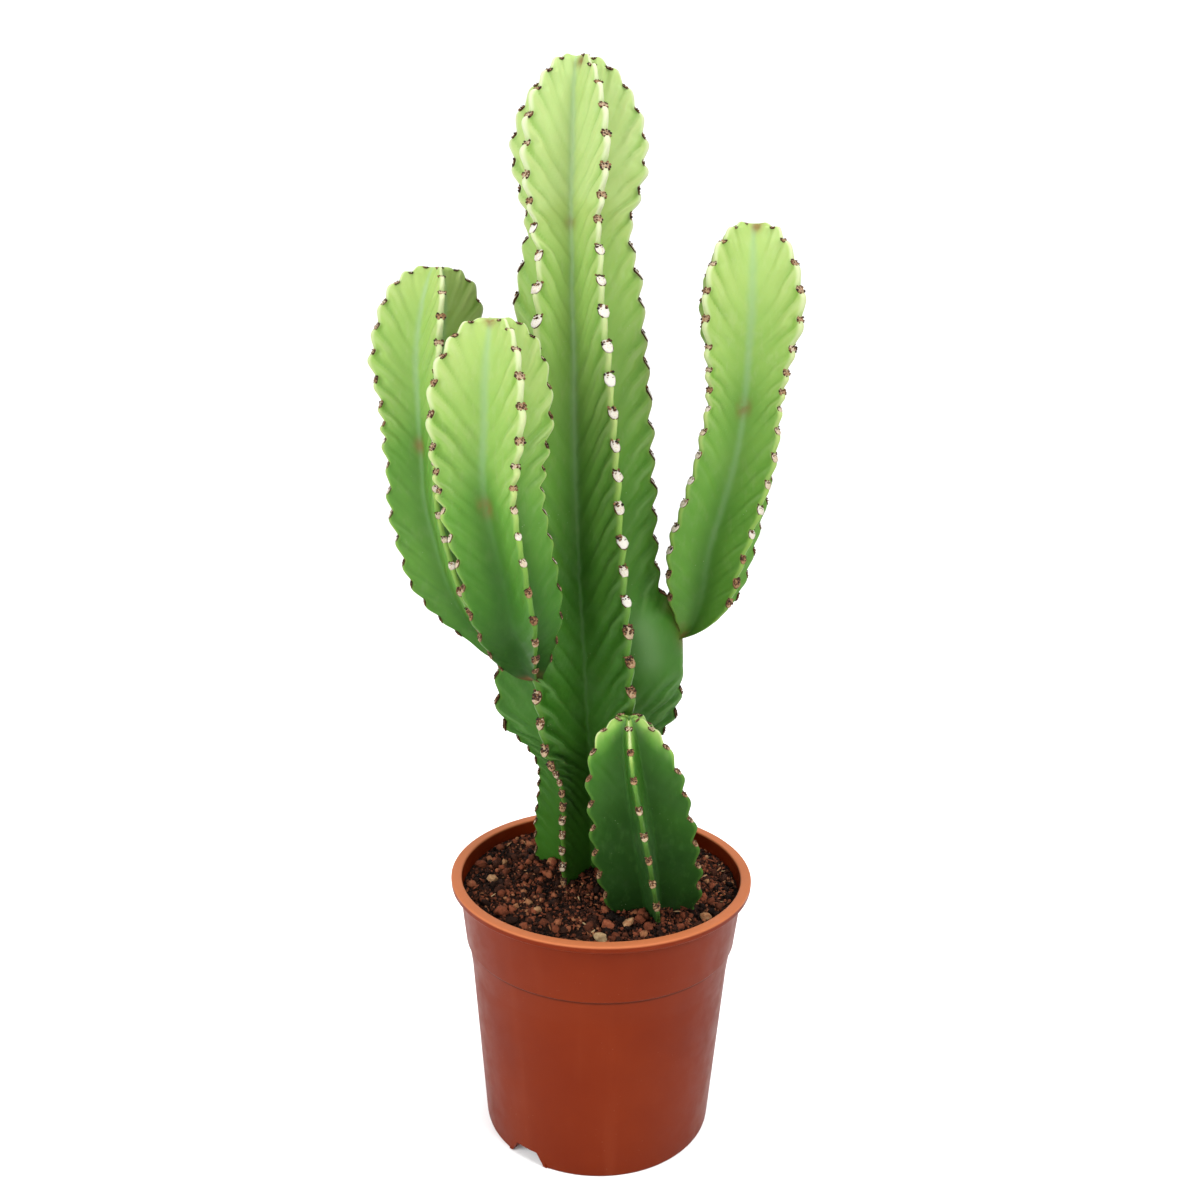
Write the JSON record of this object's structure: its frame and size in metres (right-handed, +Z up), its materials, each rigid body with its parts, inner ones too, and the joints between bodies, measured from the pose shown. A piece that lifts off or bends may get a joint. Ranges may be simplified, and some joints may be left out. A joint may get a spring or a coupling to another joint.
{
  "type": "potted candelabra euphorbia",
  "caption": "Upright ribbed succulent with raised side arms and a short basal offset, planted in gritty potting mix in a round tapered nursery pot.",
  "frame": {"origin": "centre of the pot's flat underside, where the pot's axis meets the surface that it stands on", "axes": "+Z up along the pot's axis; -Y towards the front of the plant, where the short offset stands; +X towards the single right-hand arm"},
  "size_m": [0.2209, 0.1775, 0.5805],
  "materials": {
    "pot": "satin moulded terracotta-coloured polypropylene",
    "potting_mix": "dark peat and bark with lava grit, rough and dry",
    "stem": "satin waxy skin, paler and yellower on new growth",
    "lava_stone": "rough porous lava and pumice"
  },
  "bodies": {
    "root": {"pot": "pot", "potting_mix": "potting_mix", "trunk": "stem", "arm_right": "stem", "arm_front_left": "stem", "arm_back_left": "stem", "offset": "stem", "lava_stone_01": "lava_stone", "lava_stone_02": "lava_stone", "lava_stone_03": "lava_stone", "lava_stone_04": "lava_stone", "lava_stone_05": "lava_stone", "lava_stone_06": "lava_stone", "lava_stone_07": "lava_stone", "lava_stone_08": "lava_stone", "lava_stone_09": "lava_stone", "lava_stone_10": "lava_stone", "lava_stone_11": "lava_stone", "lava_stone_12": "lava_stone", "lava_stone_13": "lava_stone", "lava_stone_14": "lava_stone"}
  },
  "joints": []
}
